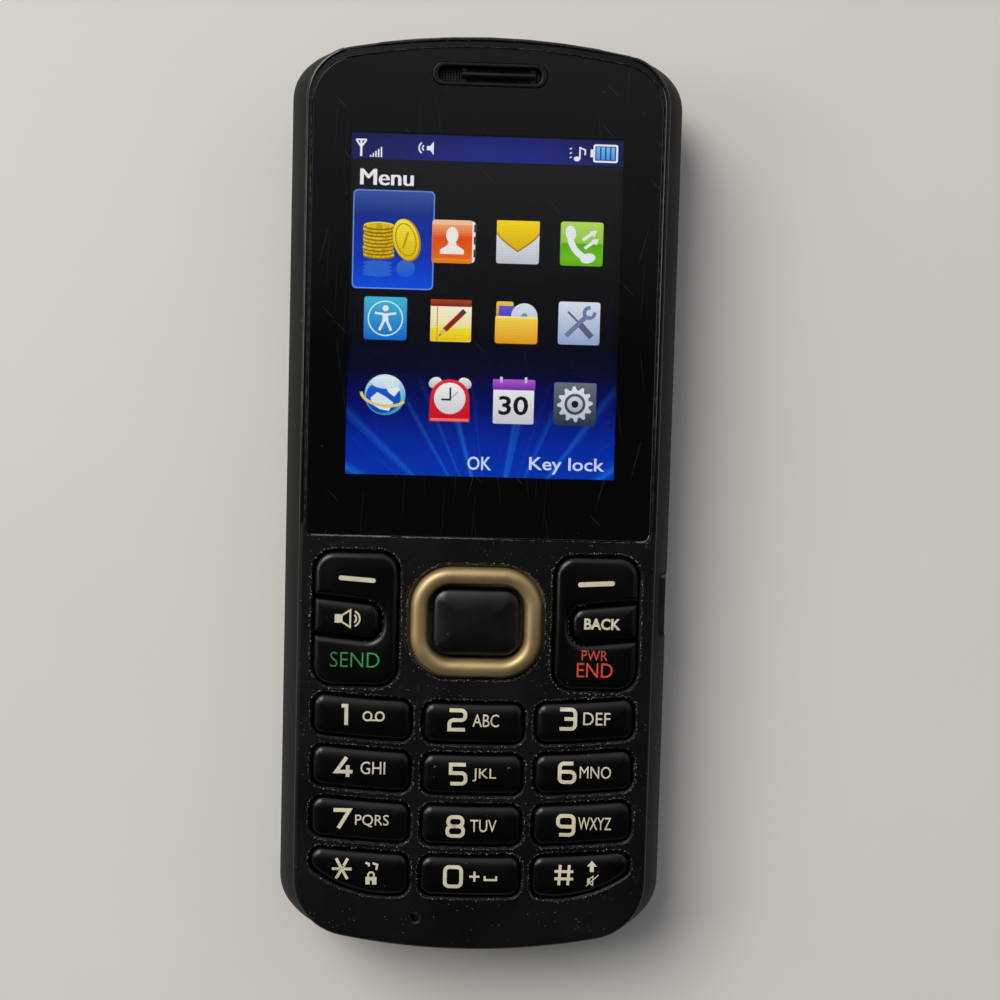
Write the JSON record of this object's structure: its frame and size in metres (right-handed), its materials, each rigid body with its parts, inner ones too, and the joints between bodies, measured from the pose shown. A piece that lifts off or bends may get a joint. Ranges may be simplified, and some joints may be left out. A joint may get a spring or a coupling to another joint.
{
  "type": "feature phone",
  "caption": "Bar-shaped feature phone with a colour screen, a gold navigation ring, rocker keys and a bowed number pad, in black plastic with a sliding battery cover.",
  "frame": {"origin": "middle of the flat back face, on the surface that the phone lies on", "axes": "+Z out of the screen, +Y towards the earpiece end, +X to the right of someone reading the keys"},
  "size_m": [0.046, 0.1078, 0.0135],
  "materials": {
    "band_plastic": "satin",
    "cover_plastic": "matte",
    "front_plastic": "matte",
    "window_clear": "gloss",
    "screen_glass": "gloss",
    "key_plastic": "semi-gloss",
    "gold_plastic": "satin",
    "black_trim": "semi-gloss",
    "silicone": "matte",
    "black_rubber": "matte",
    "foam_tape": "matte",
    "white_plastic": "matte",
    "circuit_board": "satin",
    "chip_black": "matte",
    "steel": "brushed",
    "shield_tin": "satin",
    "copper_film": "satin",
    "contact_gold": "polished",
    "lens_glass": "gloss",
    "battery_shell": "matte"
  },
  "bodies": {
    "phone": {"rear_housing": "band_plastic", "front_cover": "front_plastic", "display_window": "window_clear", "window_adhesive": "foam_tape", "earpiece_insert": "black_trim", "earpiece_mesh": "steel", "earpiece_receiver": "black_trim", "display_panel": "screen_glass", "display_light_tray": "white_plastic", "display_gasket": "foam_tape", "display_ribbon": "copper_film", "display_connector": "white_plastic", "main_board": "circuit_board", "key_domes": "steel", "keypad_lamps": "white_plastic", "keypad_mat": "silicone", "microphone_boot": "black_rubber", "microphone": "steel", "headset_socket": "black_trim", "charging_port": "steel", "charging_port_tongue": "chip_black", "loudspeaker": "black_trim", "loudspeaker_gasket": "foam_tape", "loudspeaker_mesh": "black_rubber", "camera_module": "black_trim", "camera_lens": "lens_glass", "camera_window": "lens_glass", "vibration_motor": "steel", "volume_switch_board": "circuit_board", "battery": "battery_shell", "battery_contacts": "contact_gold", "radio_shield": "shield_tin", "radio_chips": "chip_black", "aerial_carrier": "white_plastic", "aerial": "copper_film", "case_screws": "steel", "screw_plugs": "black_rubber"},
    "key_1_body": {"key_1": "key_plastic"},
    "key_2_body": {"key_2": "key_plastic"},
    "key_3_body": {"key_3": "key_plastic"},
    "key_4_body": {"key_4": "key_plastic"},
    "key_5_body": {"key_5": "key_plastic"},
    "key_6_body": {"key_6": "key_plastic"},
    "key_7_body": {"key_7": "key_plastic"},
    "key_8_body": {"key_8": "key_plastic"},
    "key_9_body": {"key_9": "key_plastic"},
    "key_star_body": {"key_star": "key_plastic"},
    "key_0_body": {"key_0": "key_plastic"},
    "key_hash_body": {"key_hash": "key_plastic"},
    "left_rocker_key_body": {"left_rocker_key": "key_plastic"},
    "right_rocker_key_body": {"right_rocker_key": "key_plastic"},
    "speaker_key_body": {"speaker_key": "key_plastic"},
    "back_key_body": {"back_key": "key_plastic"},
    "nav_ring_body": {"nav_ring": "gold_plastic"},
    "nav_ring_carrier_body": {"nav_ring_carrier": "black_trim"},
    "ok_key_body": {"ok_key": "key_plastic"},
    "volume_key_body": {"volume_key": "black_trim"},
    "battery_cover_body": {"battery_cover": "cover_plastic"},
    "vibration_weight_body": {"vibration_weight": "steel"}
  },
  "joints": [
    {"name": "key_1_press", "type": "slide", "parent": "phone", "child": "key_1_body", "axis": [0, 0, -1], "range_m": [0, 0.0003], "stiffness_N_per_m": 300},
    {"name": "key_2_press", "type": "slide", "parent": "phone", "child": "key_2_body", "axis": [0, 0, -1], "range_m": [0, 0.0003], "stiffness_N_per_m": 300},
    {"name": "key_3_press", "type": "slide", "parent": "phone", "child": "key_3_body", "axis": [0, 0, -1], "range_m": [0, 0.0003], "stiffness_N_per_m": 300},
    {"name": "key_4_press", "type": "slide", "parent": "phone", "child": "key_4_body", "axis": [0, 0, -1], "range_m": [0, 0.0003], "stiffness_N_per_m": 300},
    {"name": "key_5_press", "type": "slide", "parent": "phone", "child": "key_5_body", "axis": [0, 0, -1], "range_m": [0, 0.0003], "stiffness_N_per_m": 300},
    {"name": "key_6_press", "type": "slide", "parent": "phone", "child": "key_6_body", "axis": [0, 0, -1], "range_m": [0, 0.0003], "stiffness_N_per_m": 300},
    {"name": "key_7_press", "type": "slide", "parent": "phone", "child": "key_7_body", "axis": [0, 0, -1], "range_m": [0, 0.0003], "stiffness_N_per_m": 300},
    {"name": "key_8_press", "type": "slide", "parent": "phone", "child": "key_8_body", "axis": [0, 0, -1], "range_m": [0, 0.0003], "stiffness_N_per_m": 300},
    {"name": "key_9_press", "type": "slide", "parent": "phone", "child": "key_9_body", "axis": [0, 0, -1], "range_m": [0, 0.0003], "stiffness_N_per_m": 300},
    {"name": "key_star_press", "type": "slide", "parent": "phone", "child": "key_star_body", "axis": [0, 0, -1], "range_m": [0, 0.0003], "stiffness_N_per_m": 300},
    {"name": "key_0_press", "type": "slide", "parent": "phone", "child": "key_0_body", "axis": [0, 0, -1], "range_m": [0, 0.0003], "stiffness_N_per_m": 300},
    {"name": "key_hash_press", "type": "slide", "parent": "phone", "child": "key_hash_body", "axis": [0, 0, -1], "range_m": [0, 0.0003], "stiffness_N_per_m": 300},
    {"name": "speaker_key_press", "type": "slide", "parent": "phone", "child": "speaker_key_body", "axis": [0, 0, -1], "range_m": [0, 0.0003], "stiffness_N_per_m": 300},
    {"name": "back_key_press", "type": "slide", "parent": "phone", "child": "back_key_body", "axis": [0, 0, -1], "range_m": [0, 0.0003], "stiffness_N_per_m": 300},
    {"name": "ok_key_press", "type": "slide", "parent": "phone", "child": "ok_key_body", "axis": [0, 0, -1], "range_m": [0, 0.0003], "stiffness_N_per_m": 300},
    {"name": "left_rocker_key_rock", "type": "hinge", "parent": "phone", "child": "left_rocker_key_body", "pos_m": [-0.0141, -0.0141, 0.0106], "axis": [1, 0, 0], "range_deg": [-1.8, 1.8], "stiffness_Nm_per_rad": 0.02},
    {"name": "right_rocker_key_rock", "type": "hinge", "parent": "phone", "child": "right_rocker_key_body", "pos_m": [0.0141, -0.0141, 0.0106], "axis": [1, 0, 0], "range_deg": [-1.8, 1.8], "stiffness_Nm_per_rad": 0.02},
    {"name": "nav_ring_up_down", "type": "hinge", "parent": "phone", "child": "nav_ring_carrier_body", "pos_m": [0, -0.0141, 0.0105], "axis": [1, 0, 0], "range_deg": [-1.5, 1.5], "stiffness_Nm_per_rad": 0.02},
    {"name": "nav_ring_left_right", "type": "hinge", "parent": "nav_ring_carrier_body", "child": "nav_ring_body", "pos_m": [0, -0.0141, 0.0105], "axis": [0, 1, 0], "range_deg": [-1.5, 1.5], "stiffness_Nm_per_rad": 0.02},
    {"name": "volume_key_rock", "type": "hinge", "parent": "phone", "child": "volume_key_body", "pos_m": [-0.0205, 0.0372, 0.0049], "axis": [0, 0, 1], "range_deg": [-1.2, 1.2], "stiffness_Nm_per_rad": 0.02},
    {"name": "vibration_spin", "type": "hinge", "parent": "phone", "child": "vibration_weight_body", "pos_m": [-0.0086, 0.037, 0.00375], "axis": [0, 1, 0], "continuous": true},
    {"name": "battery_cover_slide", "type": "slide", "parent": "phone", "child": "battery_cover_body", "axis": [0, -1, 0], "range_m": [0, 0.08]}
  ]
}
